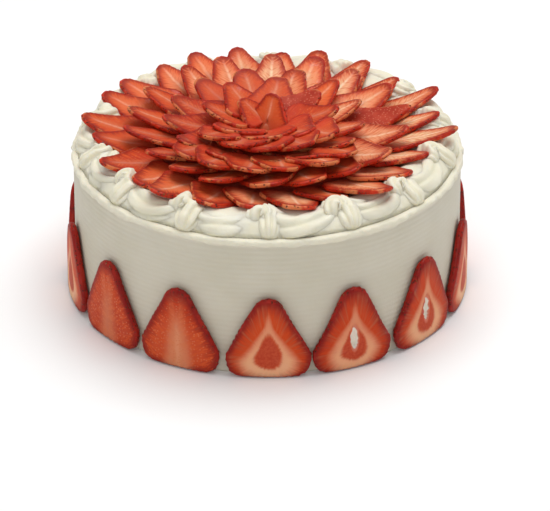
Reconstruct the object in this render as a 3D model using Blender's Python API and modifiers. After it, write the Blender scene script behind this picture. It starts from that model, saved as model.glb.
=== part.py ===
"""Strawberry shortcake, whole and uncut.

A round cake under white cream, with swags and heads of cream piped round its top edge, a flower of
sliced strawberries laid inside them, and a row of larger slices standing round its foot.
Metres, +Z up. The origin is the middle of the flat underside, and -Y is the front.
"""

import math
from collections import namedtuple

import bmesh
import bpy
from mathutils import Matrix, Vector

MM = 0.001
GAP = 0.3 * MM

# The cream-covered cake, with a low mound of cream under the flower
CAKE_RADIUS = 105 * MM
CAKE_HEIGHT = 80 * MM
TOP_EDGE = 1.6 * MM
FOOT_EDGE = 0.8 * MM
MOUND_RADIUS = 44 * MM
MOUND_HEIGHT = 8 * MM
MOUND_POWER = 1.3
MOUND_STATIONS = 4
CAKE_STEPS = 64

# The piped border: swags that hang out to the rim between two heads, and on each joint a head, which
# hooks up over its crest and runs straight out to the rim
LOOPS = 14
LOOP_ANGLE = 2 * math.pi / LOOPS
FIRST_BUMP = math.radians(-92)
SWAG_START = 0.05
SWAG_END = 0.99
SWAG_REACH = 95.2 * MM
SWAG_BED = 1.2 * MM
SWAG_STRAND = 7.9 * MM
SWAG_THIN = 1.9 * MM
SWAG_PULL = (11.5 * MM, 9.5 * MM)
SWAG_RISE = (5.0 * MM, 2.6 * MM)
SWAG_RIDGES = 6
SWAG_SHARES = (0.012, 0.08, 0.34, 0.66, 0.92, 0.988)
HEAD_HOOK = 3.6 * MM
HEAD_CREST = 0.36
HEAD_RADIUS = 88.5 * MM
HEAD_PULL = (7.0 * MM, 14.5 * MM)
HEAD_HEIGHT = 7.6 * MM
HEAD_FALL = (4.0 * MM, 8.0 * MM)
HEAD_STRAND = 6.1 * MM
HEAD_RIDGES = 8
HEAD_SHARES = (0.02, 0.12, 0.38, 0.7, 1.0)
RIDGE_DEPTH = 0.19

# The bed of cream inside the strokes, under the outer slices
BED_RADIUS = 88 * MM
BED_HALF_WIDTH = 14.5 * MM
BED_HEIGHT = 7.6 * MM
BED_SHARES = (-1.0, -0.62, 0.0, 0.62, 1.0)
BED_STEPS = 42

# Strawberry slices, as shares of their length from the cut base to the tip
SIDE_STATIONS = (0.0, 0.10, 0.28, 0.54, 0.78, 0.93, 1.0)
FLOWER_STATIONS = (0.0, 0.11, 0.30, 0.62, 0.91, 1.0)
BLUNT_END = 0.985
CAP_SHARE = 0.12
WIDEST_SHARE = 0.26
RIM_INSET = 0.94

# The slices that stand round the foot, one under each head of the border
SIDE_COUNT = LOOPS
FIRST_SIDE = math.radians(-90)
SIDE_WIDTH = 46 * MM
SIDE_HEIGHT = 48 * MM
SIDE_THICKNESS = 3.8 * MM
SIDE_STAND_OFF = 0.95 * MM
SIDE_FORM = (0.74, 0.22)

# The flower: cones of slices that lie on each other like tiles. lean is the way a ring's stair
# climbs, and lap the room between one slice and the next, below zero where they are fused
Ring = namedtuple(
    "Ring",
    "name count phase step lean base_radius tip_radius base_height tip_height curl width lap",
)


def ring_of(name, count, phase, step, lean, *lengths):
    """A ring of the flower, its angles in degrees and its lengths in millimetres."""
    return Ring(name, count, phase, step, lean, *(length * MM for length in lengths))


OUTER_RING = ring_of("outer", 24, 9.8, 15, 1, 60, 98.0, 4.1, 14.5, 3.0, 29, 0.6)
INNER_RING = ring_of("inner", 18, 8.5, 20, -1, 40, 76.5, 7.6, 17.7, 4.0, 29.5, 0.6)
THIRD_RING = ring_of("third", 13, 19.0, 360 / 13, 1, 22, 55, 10.65, 20.35, 4.0, 30, -0.3)
THIRD_FRONT = ring_of("low_front", 6, -138, 19, 1, 43, 67, 16.1, 21.3, 2.5, 29, -0.3)
FOURTH_RING = ring_of("fourth", 8, -7.0, 45, -1, 9, 37, 13.4, 24.6, 2.0, 30, -0.3)
FOURTH_FRONT = ring_of("high_front", 5, -136, 23, -1, 30, 49, 19.95, 24.75, 1.5, 28, -0.3)
LEAF_RING = ring_of("leaf", 1, 142.0, 360, 0, 2, 20, 14.0, 26.0, 0, 25, 0)
BUD_RING = ring_of("bud", 1, 62.0, 360, 0, -4, 12, 11.0, 30.0, 0, 28, 0)
SLICE_THICKNESS = 2.5 * MM
FLOWER_OVAL = 3.5 * MM
FLOWER_BASE_SHARE = 0.58
TIP_ROUND = 0.34
TIP_ROUND_SPREAD = 0.06
SIDE_POINT = 0.38
FRONT_SPREAD = 0.16
AZIMUTH_SPREAD = math.radians(1.8)
TIP_SPREAD = 2.6 * MM
WIDTH_SPREAD = 0.05
BUMP_PUSH = 10 * MM
BUMP_REACH = math.radians(9.0)
SLICE_BEND = 1.8 * MM
PRESS_HEIGHT = 16 * MM
FLAT_ENOUGH = math.radians(2.0)


def wobble(index, channel):
    """A repeatable number from -1 to 1 for one piece: the fractional part of a large sine."""
    value = math.sin(index * 12.9898 + channel * 78.233) * 43758.5453
    return 2.0 * (value - math.floor(value)) - 1.0


def make_material(name, colour, roughness):
    """A plain Principled finish."""
    material = bpy.data.materials.new(name)
    material.use_nodes = True
    shader = material.node_tree.nodes["Principled BSDF"]
    shader.inputs["Base Color"].default_value = (*colour, 1.0)
    shader.inputs["Roughness"].default_value = roughness
    shader.inputs["Metallic"].default_value = 0.0
    return material


def make_collection(name):
    """A new collection in the scene."""
    made = bpy.data.collections.new(name)
    bpy.context.scene.collection.children.link(made)
    return made


def add_object(name, data, collection, material):
    """A new object on this mesh or curve, in the collection, with the material."""
    made = bpy.data.objects.new(name, data)
    collection.objects.link(made)
    if material is not None:
        data.materials.append(material)
    return made


def remove_all(objects):
    """Removes these objects from the file."""
    for item in list(objects):
        bpy.data.objects.remove(item, do_unlink=True)


def as_mesh(source, name, weld):
    """A new mesh of what the object looks like after its modifiers. A curve's caps are loose, so
    they are welded to its sides."""
    graph = bpy.context.evaluated_depsgraph_get()
    mesh = bpy.data.meshes.new_from_object(source.evaluated_get(graph))
    mesh.name = name
    if weld:
        bm = bmesh.new()
        bm.from_mesh(mesh)
        bmesh.ops.remove_doubles(bm, verts=bm.verts, dist=0.00001)
        bmesh.ops.recalc_face_normals(bm, faces=bm.faces)
        bm.to_mesh(mesh)
        bm.free()
    return mesh


def apply_boolean(target, operation, operands, solver):
    """Applies one Boolean between the target and every object in the collection, removes those
    objects, and drops any loose scrap, so that one body is left."""
    boolean = target.modifiers.new(operation.title(), "BOOLEAN")
    boolean.operation = operation
    boolean.operand_type = "COLLECTION"
    boolean.collection = operands
    boolean.solver = solver
    bpy.context.view_layer.update()
    mesh = as_mesh(target, target.name, False)
    target.modifiers.clear()
    target.data = mesh
    remove_all(operands.objects)
    keep_largest_body(mesh)


def keep_largest_body(mesh):
    """Deletes every piece of the mesh that isn't joined to its largest piece, and merges the flat
    facets that the Boolean left in pieces."""
    bm = bmesh.new()
    bm.from_mesh(mesh)
    left = set(bm.faces)
    bodies = []
    while left:
        body = set()
        front = {left.pop()}
        while front:
            body |= front
            front = {face for item in front for edge in item.edges for face in edge.link_faces}
            front -= body
        left -= body
        bodies.append(body)
    largest = max(bodies, key=len)
    scraps = [face for body in bodies if body is not largest for face in body]
    bmesh.ops.delete(bm, geom=scraps, context="FACES")
    bmesh.ops.dissolve_limit(bm, angle_limit=FLAT_ENOUGH, verts=bm.verts, edges=bm.edges)
    bmesh.ops.triangulate(bm, faces=bm.faces)
    bm.to_mesh(mesh)
    bm.free()


def ease(value, low, high):
    """0 below low, 1 above high, and a smooth step between."""
    share = min(max((value - low) / (high - low), 0.0), 1.0)
    return share * share * (3.0 - 2.0 * share)


def ripple(angle, seed, waves):
    """A slow uneven wave round a circle: sines of whole wave counts, each with its own phase."""
    total = 0.0
    for number, count in enumerate(waves):
        total += math.sin(count * angle + 2 * math.pi * wobble(seed, number)) / len(waves)
    return total


def half_width(share, base_share, tip_round):
    """Half width of a strawberry slice, as a share of the greatest, at a share of the way up from
    its cut base: a quarter ellipse up to the widest place, then a cone with a round cap."""
    if share < WIDEST_SHARE:
        fall = 1.0 - share / WIDEST_SHARE
        return base_share + (1.0 - base_share) * math.sqrt(1.0 - fall * fall)
    left = (1.0 - min(share, BLUNT_END)) / (1.0 - WIDEST_SHARE)
    cap = math.sqrt(1.0 - (1.0 - min(left / CAP_SHARE, 1.0)) ** 2)
    return (1.0 - tip_round) * left + tip_round * cap


def slice_mesh(name, stations, columns, width, length, form, layers):
    """A strawberry slice lying in XY, its base at y = 0 and its tip at y = length: a grid drawn to
    the outline, then extruded through the layers, each a height and a size. form holds the share
    of the width at the base and how round the tip is."""
    bm = bmesh.new()
    rows = len(stations) - 1
    bmesh.ops.create_grid(bm, x_segments=columns, y_segments=rows, size=0.5)
    for vert in bm.verts:
        share = stations[round((vert.co.y + 0.5) * rows)]
        across = 2.0 * vert.co.x
        vert.co = (across * 0.5 * width * half_width(share, *form), length * share, 0)
    middle = Vector((0, 0.42 * length, 0))
    region = list(bm.faces)
    last_size = 1.0
    for number, (height, size) in enumerate(layers):
        if number:
            edges = list({edge for face in region for edge in face.edges})
            grown = bmesh.ops.extrude_face_region(bm, geom=region + edges)["geom"]
            region = [item for item in grown if isinstance(item, bmesh.types.BMFace)]
        for vert in {corner for face in region for corner in face.verts}:
            vert.co = middle + (vert.co - middle) * (size / last_size)
            vert.co.z = height
        last_size = size
    bmesh.ops.recalc_face_normals(bm, faces=bm.faces)
    mesh = bpy.data.meshes.new(name)
    bm.to_mesh(mesh)
    bm.free()
    return mesh


def turn_profile(name, profile, steps, collection, material):
    """An object turned from a profile of radius and height, which runs down its outer side."""
    mesh = bpy.data.meshes.new(name)
    points = [(radius, 0, height) for radius, height in profile]
    mesh.from_pydata(points, [(i, i + 1) for i in range(len(points) - 1)], [])
    turned = add_object(name, mesh, collection, material)
    screw = turned.modifiers.new("Turn", "SCREW")
    screw.angle = 2 * math.pi
    screw.steps = steps
    screw.render_steps = steps
    screw.use_merge_vertices = True
    screw.merge_threshold = 0.0001
    screw.use_smooth_shade = False
    return turned


def make_cake(collection, material):
    """The round cake, turned: the mound that carries the flower, a flat top, a slightly rounded
    top edge, and a straight side."""
    profile = []
    for station in range(MOUND_STATIONS + 1):
        radius = MOUND_RADIUS * station / MOUND_STATIONS
        rise = MOUND_HEIGHT * (1.0 - (radius / MOUND_RADIUS) ** MOUND_POWER)
        profile.append((radius, CAKE_HEIGHT + rise))
    profile += [
        (CAKE_RADIUS - TOP_EDGE, CAKE_HEIGHT),
        (CAKE_RADIUS - 0.3 * TOP_EDGE, CAKE_HEIGHT - 0.3 * TOP_EDGE),
        (CAKE_RADIUS, CAKE_HEIGHT - TOP_EDGE),
        (CAKE_RADIUS, FOOT_EDGE),
        (CAKE_RADIUS - FOOT_EDGE, 0),
        (0, 0),
    ]
    return turn_profile("cake_body", profile, CAKE_STEPS, collection, material)


def swag_line(share):
    """A swag's middle line, from the head on its left at share 0 to the head on its right at 1:
    azimuth in loops, radius, height above the cake and strand radius. Both ends draw in and rise
    with the square of the way from the middle."""
    left = max(1.0 - 2.0 * share, 0.0) ** 2
    right = max(2.0 * share - 1.0, 0.0) ** 2
    loops = SWAG_START + (SWAG_END - SWAG_START) * share
    radius = SWAG_REACH - SWAG_PULL[0] * left - SWAG_PULL[1] * right
    height = SWAG_BED + SWAG_RISE[0] * left + SWAG_RISE[1] * right
    strand = SWAG_STRAND - SWAG_THIN * (left + right)
    end = min(share, 1.0 - share) / 0.07
    return loops, radius, height, strand * math.sqrt(1.0 - (1.0 - min(end, 1.0)) ** 2)


def head_line(share):
    """A head's middle line, up from the left over its crest and out to the rim on the right:
    azimuth in loops, radius, height above the cake and strand radius."""
    left = max((HEAD_CREST - share) / HEAD_CREST, 0.0) ** 2
    right = max((share - HEAD_CREST) / (1.0 - HEAD_CREST), 0.0) ** 1.4
    aside = HEAD_HOOK * (2.0 * ease(share, 0.1, 0.62) - 1.0)
    radius = HEAD_RADIUS + HEAD_PULL[0] * left + HEAD_PULL[1] * right
    height = HEAD_HEIGHT - HEAD_FALL[0] * left - HEAD_FALL[1] * right
    strand = HEAD_STRAND - 0.9 * MM * left + 0.5 * MM * right
    strand *= math.sqrt(1.0 - (1.0 - min(share / 0.12, 1.0)) ** 2)
    strand *= 1.0 - 0.6 * ease(share, 0.86, 1.0)
    return aside / (radius * LOOP_ANGLE), radius, height, strand


def star_section(ridges, collection):
    """The star that the nozzle gives a strand of radius 1, as a closed curve."""
    curve = bpy.data.curves.new("star_section", "CURVE")
    curve.dimensions = "2D"
    spline = curve.splines.new("POLY")
    count = 2 * ridges
    spline.points.add(count - 1)
    for number, point in enumerate(spline.points):
        angle = math.pi / 2 + math.pi * number / ridges
        reach = 1 if number % 2 == 0 else 1 - RIDGE_DEPTH
        point.co = (reach * math.cos(angle), reach * math.sin(angle), 0, 1)
    spline.use_cyclic_u = True
    return add_object("star_section", curve, collection, None)


def piped_stroke(name, number, line_of, shares, section, collection):
    """One stroke of the nozzle, each a little uneven in its width and place."""
    uneven = [wobble(number, 50 + channel) for channel in range(5)]
    curve = bpy.data.curves.new(name, "CURVE")
    curve.dimensions = "3D"
    curve.twist_mode = "Z_UP"
    curve.bevel_mode = "OBJECT"
    curve.bevel_object = section
    curve.use_fill_caps = True
    spline = curve.splines.new("POLY")
    spline.points.add(len(shares) - 1)
    for share, point in zip(shares, spline.points):
        loops, radius, height, strand = line_of(share)
        azimuth = FIRST_BUMP + LOOP_ANGLE * (number % LOOPS + loops + 0.03 * uneven[2])
        radius += 0.8 * MM * uneven[4]
        height += CAKE_HEIGHT + 0.7 * MM * uneven[1]
        point.co = (radius * math.cos(azimuth), radius * math.sin(azimuth), height, 1)
        point.radius = strand * (1 + 0.06 * uneven[0])
    path = add_object(name + "_path", curve, collection, None)
    bpy.context.view_layer.update()
    mesh = as_mesh(path, name, True)
    bpy.data.objects.remove(path, do_unlink=True)
    return add_object(name, mesh, collection, None)


def make_bed(collection):
    """The bed of cream: a low mound carried round the cake, uneven in height."""
    under = CAKE_HEIGHT - 2 * MM
    profile = [(BED_RADIUS - BED_HALF_WIDTH, under)]
    for share in BED_SHARES:
        rise = BED_HEIGHT * (1.0 - share * share)
        profile.append((BED_RADIUS + BED_HALF_WIDTH * share, CAKE_HEIGHT + rise))
    profile.append((BED_RADIUS + BED_HALF_WIDTH, under))
    profile.append(profile[0])
    turned = turn_profile("bed", profile, BED_STEPS, collection, None)
    bpy.context.view_layer.update()
    mesh = as_mesh(turned, "bed_mound", True)
    bpy.data.objects.remove(turned, do_unlink=True)
    for vert in mesh.vertices:
        azimuth = math.atan2(vert.co.y, vert.co.x)
        wave = 1 + 0.16 * ripple(azimuth, 12, (14, 23, 31))
        vert.co.z = CAKE_HEIGHT + (vert.co.z - CAKE_HEIGHT) * wave
    return add_object("bed_mound", mesh, collection, None)


def make_border(collection, helpers, material, pressed):
    """The piped border all round the top edge, strokes and bed in one, with a place pressed into
    it by every slice that lies on it."""
    swag_section = star_section(SWAG_RIDGES, helpers)
    head_section = star_section(HEAD_RIDGES, helpers)
    for loop in range(LOOPS):
        piped_stroke(f"swag_{loop}", loop, swag_line, SWAG_SHARES, swag_section, helpers)
        number = loop + LOOPS
        piped_stroke(f"head_{loop}", number, head_line, HEAD_SHARES, head_section, helpers)
    remove_all((swag_section, head_section))
    bed = make_bed(helpers)
    border = add_object("cream_border", bed.data.copy(), collection, material)
    remove_all((bed,))
    apply_boolean(border, "UNION", helpers, "MANIFOLD")
    for cutter in pressed:
        helpers.objects.link(cutter)
    apply_boolean(border, "DIFFERENCE", helpers, "MANIFOLD")
    border.data.materials.clear()
    border.data.materials.append(material)
    return border


def make_side_slices(collection, material):
    """The slices that stand round the foot, tips up, bent to the side of the cake."""
    layers = ((0, 0.97), (0.45 * SIDE_THICKNESS, 1.0), (SIDE_THICKNESS, RIM_INSET))
    face_radius = CAKE_RADIUS + SIDE_STAND_OFF
    for number in range(SIDE_COUNT):
        azimuth = FIRST_SIDE + 2 * math.pi * number / SIDE_COUNT
        azimuth += math.radians(0.7) * wobble(number, 11)
        width = SIDE_WIDTH * (1 + 0.03 * wobble(number, 12))
        height = SIDE_HEIGHT * (1 + 0.03 * wobble(number, 13))
        bend = 1.0 * MM * wobble(number, 14)
        name = f"side_slice_{number + 1:02d}"
        mesh = slice_mesh(name, SIDE_STATIONS, 2, width, height, SIDE_FORM, layers)
        for vert in mesh.vertices:
            across = vert.co.x + bend * (vert.co.y / height) ** 2
            angle = azimuth + across / face_radius
            reach = face_radius + vert.co.z
            lift = max(vert.co.y, 0) + GAP
            vert.co = (reach * math.cos(angle), reach * math.sin(angle), lift)
        add_object(name, mesh, collection, material)


def bump_distance(azimuth):
    """How far this azimuth is from the nearest head of the border."""
    turns = (azimuth - FIRST_BUMP) / LOOP_ANGLE
    return abs(turns - round(turns)) * LOOP_ANGLE


def ring_slope(ring):
    """How steeply a ring's slices rise, before their curl."""
    run = ring.tip_radius - ring.base_radius
    return math.atan2(ring.tip_height - ring.curl - ring.base_height, run)


def ring_slice_sizes(ring, number):
    """Width, length and form of one slice of a ring, the azimuth it points to, and its step's."""
    seed = number + 100 * ring.count
    step = math.radians(ring.phase + ring.step * number)
    azimuth = step + AZIMUTH_SPREAD * wobble(seed, 1)
    length = (ring.tip_radius - ring.base_radius) / math.cos(ring_slope(ring))
    length += TIP_SPREAD * wobble(seed, 2)
    front = -math.sin(azimuth)
    if ring is OUTER_RING:
        near = max(0.0, 1.0 - (bump_distance(azimuth) / BUMP_REACH) ** 2)
        length += FLOWER_OVAL * math.cos(2 * azimuth) - BUMP_PUSH * near * min(1.0, 1.0 + front)
    width = ring.width * (1 + WIDTH_SPREAD * wobble(seed, 3) + FRONT_SPREAD * max(front, 0.0))
    tip_round = TIP_ROUND * (1 + 0.15 * front - SIDE_POINT * math.cos(azimuth) ** 2)
    form = (FLOWER_BASE_SHARE, tip_round + TIP_ROUND_SPREAD * wobble(seed, 4))
    return width, length, form, azimuth, step


def ring_height(ring, radius, past_step):
    """Height of a ring's middle surface: a cone round the cake's axis, which also climbs like a
    spiral stair, one slice's thickness and its lap from each slice to the next, so that neighbours
    lie on each other like tiles, and curls up towards the tips with the cube of the way out.
    past_step is the angle clockwise from the slice's own step."""
    slope = ring_slope(ring)
    climb = (SLICE_THICKNESS + ring.lap) / math.cos(slope) / math.radians(ring.step)
    out = radius - ring.base_radius
    rise = math.tan(slope) * out + climb * ring.lean * past_step
    rise += ring.curl * (max(out, 0.0) / (ring.tip_radius - ring.base_radius)) ** 3
    return CAKE_HEIGHT + ring.base_height + rise


def ring_slice_mesh(name, ring, number, margin, layers):
    """One slice of a ring, laid in its place: base in, tip out, bent to the cone and the stair. In
    a ring without a stair the slices stay flat, and cross in the middle."""
    width, length, form, azimuth, step = ring_slice_sizes(ring, number)
    bend = SLICE_BEND * wobble(number + 100 * ring.count, 37)
    slope = ring_slope(ring)
    sizes = (width + 2 * margin, length + 2 * margin)
    mesh = slice_mesh(name, FLOWER_STATIONS, 1, *sizes, form, layers)
    for vert in mesh.vertices:
        along = vert.co.y - margin
        across = vert.co.x + bend * (along / length) ** 2
        out = ring.base_radius + along * math.cos(slope)
        around = azimuth - math.atan2(across, out)
        radius = math.hypot(across, out)
        rising = radius if ring.lean else out
        height = ring_height(ring, rising, step - around) + vert.co.z * math.cos(slope)
        radius -= vert.co.z * math.sin(slope)
        vert.co = (radius * math.cos(around), radius * math.sin(around), height)
    return mesh


def make_ring_slices(ring, collection, material):
    """One ring of the flower, as separate slices, each with a rim that bulges between its faces."""
    half = 0.5 * SLICE_THICKNESS
    layers = ((-half, RIM_INSET), (0.0, 1.0), (half, RIM_INSET))
    for number in range(ring.count):
        name = f"{ring.name}_slice_{number + 1:02d}"
        add_object(name, ring_slice_mesh(name, ring, number, 0.0, layers), collection, material)


def make_fused_rings(name, rings, collection, helpers, material):
    """Rings whose slices sink a little into each other, fused to one solid."""
    half = 0.5 * SLICE_THICKNESS
    layers = ((-half, 0.98), (half, 0.98))
    for ring in rings:
        for number in range(ring.count):
            label = f"{name}_{ring.name}_{number}"
            mesh = ring_slice_mesh(label, ring, number, 0.0, layers)
            add_object(label, mesh, helpers, None)
    made = list(helpers.objects)
    fused = add_object(name, made[0].data.copy(), collection, material)
    remove_all(made[:1])
    apply_boolean(fused, "UNION", helpers, "MANIFOLD")
    fused.data.materials.clear()
    fused.data.materials.append(material)


def make_presses(helpers):
    """What flattens the border: a slab up to the top of the cake, and for each outer slice its own
    space, a gap wider, and all that is above it."""
    bm = bmesh.new()
    bmesh.ops.create_cube(bm, size=1)
    slab = bpy.data.meshes.new("press_slab")
    bm.to_mesh(slab)
    bm.free()
    size = Matrix.Diagonal((3 * CAKE_RADIUS, 3 * CAKE_RADIUS, PRESS_HEIGHT, 1))
    slab.transform(Matrix.Translation((0, 0, CAKE_HEIGHT + GAP - 0.5 * PRESS_HEIGHT)) @ size)
    presses = [add_object("press_slab", slab, helpers, None)]
    layers = ((-0.5 * SLICE_THICKNESS - GAP, 1.0), (PRESS_HEIGHT, 1.0))
    for number in range(OUTER_RING.count):
        mesh = ring_slice_mesh(f"press_{number}", OUTER_RING, number, 1.6 * GAP, layers)
        presses.append(add_object(mesh.name, mesh, helpers, None))
    return presses


def main():
    remove_all(bpy.data.objects)
    shortcake = make_collection("strawberry_shortcake")
    helpers = make_collection("cutters")
    helpers.hide_render = True
    presses_store = make_collection("presses")
    presses_store.hide_render = True

    sponge_cream = make_material("smooth_cream", (0.80, 0.76, 0.66), 0.55)
    piped_cream = make_material("piped_cream", (0.86, 0.83, 0.74), 0.5)
    berry = make_material("strawberry", (0.55, 0.06, 0.03), 0.35)

    make_cake(shortcake, sponge_cream)
    presses = make_presses(presses_store)
    make_border(shortcake, helpers, piped_cream, presses)
    make_side_slices(shortcake, berry)
    make_ring_slices(OUTER_RING, shortcake, berry)
    make_ring_slices(INNER_RING, shortcake, berry)
    make_fused_rings("flower_ring_3", (THIRD_RING, THIRD_FRONT), shortcake, helpers, berry)
    heart = (FOURTH_RING, FOURTH_FRONT, LEAF_RING, BUD_RING)
    make_fused_rings("flower_heart", heart, shortcake, helpers, berry)
    bpy.data.collections.remove(presses_store)


main()
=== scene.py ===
"""Strawberry shortcake, dressed: combed cream round the side, swags and heads of ridged cream piped
round the top edge, a flower of cut strawberry slices, and broad slices standing round the foot.

Metres, +Z up, the origin in the middle of the underside, -Y the front. Every surface is worked out
on a grid of two parameters. The slices and the piped cream keep the places of the solids.
"""

import math
from collections import namedtuple

import bpy
import numpy as np
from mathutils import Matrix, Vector


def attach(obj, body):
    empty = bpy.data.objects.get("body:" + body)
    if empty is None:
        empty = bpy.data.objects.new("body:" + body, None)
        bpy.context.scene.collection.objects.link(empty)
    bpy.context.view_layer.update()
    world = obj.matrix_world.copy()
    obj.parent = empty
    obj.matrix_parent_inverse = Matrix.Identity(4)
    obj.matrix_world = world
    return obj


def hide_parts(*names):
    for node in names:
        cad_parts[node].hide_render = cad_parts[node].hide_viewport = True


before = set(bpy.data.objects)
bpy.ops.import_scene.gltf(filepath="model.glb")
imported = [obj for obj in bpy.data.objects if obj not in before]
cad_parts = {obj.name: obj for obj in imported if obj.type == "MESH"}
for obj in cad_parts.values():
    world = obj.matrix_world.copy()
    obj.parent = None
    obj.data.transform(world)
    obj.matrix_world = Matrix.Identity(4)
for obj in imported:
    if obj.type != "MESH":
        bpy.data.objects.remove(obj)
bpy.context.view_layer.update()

MM = 0.001
GAP = 0.3 * MM
TAU = 2 * math.pi

CAKE_RADIUS = 105 * MM
CAKE_HEIGHT = 80 * MM
MOUND_RADIUS = 44 * MM
MOUND_HEIGHT = 8 * MM
MOUND_POWER = 1.3
EDGE_RADIUS = 1.6 * MM

# The comb drawn round the side, and the ragged lip left above it
COMB_PITCH = 2.95 * MM
COMB_DEPTH = 0.22 * MM
COMB_LOW = 2 * MM
COMB_HIGH = 76 * MM
LIP_THICKNESS = 1.3 * MM
COAT_COLUMNS = 480
COAT_SIDE_ROWS = 165

# The piped border: swags that hang out to the rim between two heads, and on each joint a head, which
# hooks up over its crest and runs straight out to the rim
LOOPS = 14
LOOP_ANGLE = TAU / LOOPS
FIRST_HEAD = math.radians(-92)
SWAG_START = 0.05
SWAG_END = 0.99
SWAG_REACH = 95.2 * MM
SWAG_BED = 1.2 * MM
SWAG_STRAND = 7.9 * MM
SWAG_THIN = 1.9 * MM
SWAG_PULL = (11.5 * MM, 9.5 * MM)
SWAG_RISE = (5.0 * MM, 2.6 * MM)
SWAG_ROUND = 0.07
SWAG_RIDGES = 6
HEAD_HOOK = 3.6 * MM
HEAD_CREST = 0.36
HEAD_RADIUS = 88.5 * MM
HEAD_PULL = (7.0 * MM, 14.5 * MM)
HEAD_HEIGHT = 7.6 * MM
HEAD_FALL = (4.0 * MM, 8.0 * MM)
HEAD_STRAND = 6.8 * MM
HEAD_ROUND = (0.12, 0.16)
HEAD_BLUNT = 0.16
HEAD_RIDGES = 8
RIDGE_DEPTH = 0.25
RIDGE_SOFT = 0.02
STROKE_STATIONS = 42
SECTION_POINTS = 64
RIM_DROOP = 2.4 * MM

# The bed of cream inside the strokes, under the outer slices
BED_RADIUS = 88 * MM
BED_HALF_WIDTH = 14.5 * MM
BED_HEIGHT = 8.4 * MM
BED_POWER = 2.6
BED_STATIONS = 360
BED_COLUMNS = 19

# The outline of a slice, as shares of its length from the cut base to the tip, with the middle that
# its spokes spread from
CAP_SHARE = 0.12
WIDEST_SHARE = 0.26
MIDDLE_SHARE = 0.27
OUTLINE_POINTS = 84

# Along a spoke: the rings of points on the cut face, and where the rim starts; and its seeds' pitch
FACE_SHARES = (0.0, 0.06, 0.12, 0.2, 0.3, 0.4, 0.5, 0.6, 0.7, 0.8, 0.88)
RIM_INSET = 0.94
RIM_POINTS = 9
SEED_PITCH = 3.3 * MM

# The cut face: the slant of its fibres, its drops as half width, height above the middle and below
# it, and the hollow, as shares of the slice's half width and of its length. The hollow's depth is a
# share of the thickness.
FEATHER_ALONG = 27.0
FEATHER_ASIDE = 10.0
HEART_DROP = (0.30, 0.28, 0.16)
BAND_DROP = (0.55, 0.50, 0.30)
SLOT_HALF_WIDTH = 0.085
SLOT_MIDDLE = 0.38
SLOT_HALF_LENGTH = 0.12
SLOT_DEPTH = 0.55

# The slices round the foot
SIDE_COUNT = LOOPS
FIRST_SIDE = math.radians(-90)
SIDE_WIDTH = 46 * MM
SIDE_HEIGHT = 48 * MM
SIDE_THICKNESS = 3.8 * MM
SIDE_STAND_OFF = 0.95 * MM
SIDE_FORM = (0.74, 0.22)
SIDE_NOTCH = 0.45 * MM

# The rings of the flower, from the outside in; the two fronts add slices on the side that the
# photograph shows. lean is the way that a ring's slices climb on each other, 0 if they don't.
Ring = namedtuple(
    "Ring",
    "name count phase step lean base_radius tip_radius base_height tip_height curl width lap",
)


def ring_of(name, count, phase, step, lean, *lengths):
    """A ring of the flower, its angles in degrees and its lengths in millimetres."""
    return Ring(name, count, phase, step, lean, *(length * MM for length in lengths))


OUTER_RING = ring_of("outer", 24, 9.8, 15, 1, 60, 98.0, 4.1, 14.5, 3.0, 29, 0.6)
INNER_RING = ring_of("inner", 18, 8.5, 20, -1, 40, 76.5, 7.6, 17.7, 4.0, 29.5, 0.6)
THIRD_RING = ring_of("third", 13, 19.0, 360 / 13, 1, 22, 55, 10.65, 20.35, 4.0, 30, -0.3)
THIRD_FRONT = ring_of("low_front", 6, -138, 19, 1, 43, 67, 16.1, 21.3, 2.5, 29, -0.3)
FOURTH_RING = ring_of("fourth", 8, -7.0, 45, -1, 9, 37, 13.4, 24.6, 2.0, 30, -0.3)
FOURTH_FRONT = ring_of("high_front", 5, -136, 23, -1, 30, 49, 19.95, 24.75, 1.5, 28, -0.3)
LEAF_RING = ring_of("leaf", 1, 142.0, 360, 0, 2, 20, 14.0, 26.0, 0, 25, 0)
BUD_RING = ring_of("bud", 1, 62.0, 360, 0, -4, 12, 11.0, 30.0, 0, 28, 0)

# The slices of the flower, and how much they differ. The outer ring is a little oval, and its slices
# are shorter where a head of the border stands before them.
SLICE_THICKNESS = 2.5 * MM
FLOWER_NOTCH = 0.35 * MM
FLOWER_OVAL = 3.5 * MM
FLOWER_BASE_SHARE = 0.58
TIP_ROUND = 0.34
TIP_ROUND_SPREAD = 0.06
SIDE_POINT = 0.38
FRONT_SPREAD = 0.16
AZIMUTH_SPREAD = math.radians(1.8)
TIP_SPREAD = 2.6 * MM
WIDTH_SPREAD = 0.05
HEAD_PUSH = 10 * MM
HEAD_PUSH_ANGLE = math.radians(9.0)

# The slices that lie with their skin up
SKIN_UP = (("inner", 0), ("fourth", 1))

# The photograph's camera, fitted to the rims of the cake: a long lens from far off
CAMERA_ELEVATION = math.radians(29.1)
CAMERA_DISTANCE = 2.30
CAMERA_LENS = 274.0
CAMERA_AIM = (4.2 * MM, 0.0, 13.3 * MM)

# The place, width and power of each light, and the strength of the room's
LIGHTS = {
    "overhead": ((0.15, 0.35, 1.6), 1.3, 20.5),
    "front": ((-0.25, -2.0, 1.15), 1.2, 6.5),
    "left": ((-1.7, -0.5, 0.8), 0.8, 2.2),
    "right": ((1.5, -0.6, 0.8), 0.8, 1.2),
}
LIGHT_AIM = (0, 0, 0.05)
ROOM_LIGHT = 0.40
FLOOR_HALF = 30.0


def wobble(index, channel):
    """A repeatable number from -1 to 1 for one piece: the fractional part of a large sine."""
    value = math.sin(index * 12.9898 + channel * 78.233) * 43758.5453
    return 2.0 * (value - math.floor(value)) - 1.0


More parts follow.
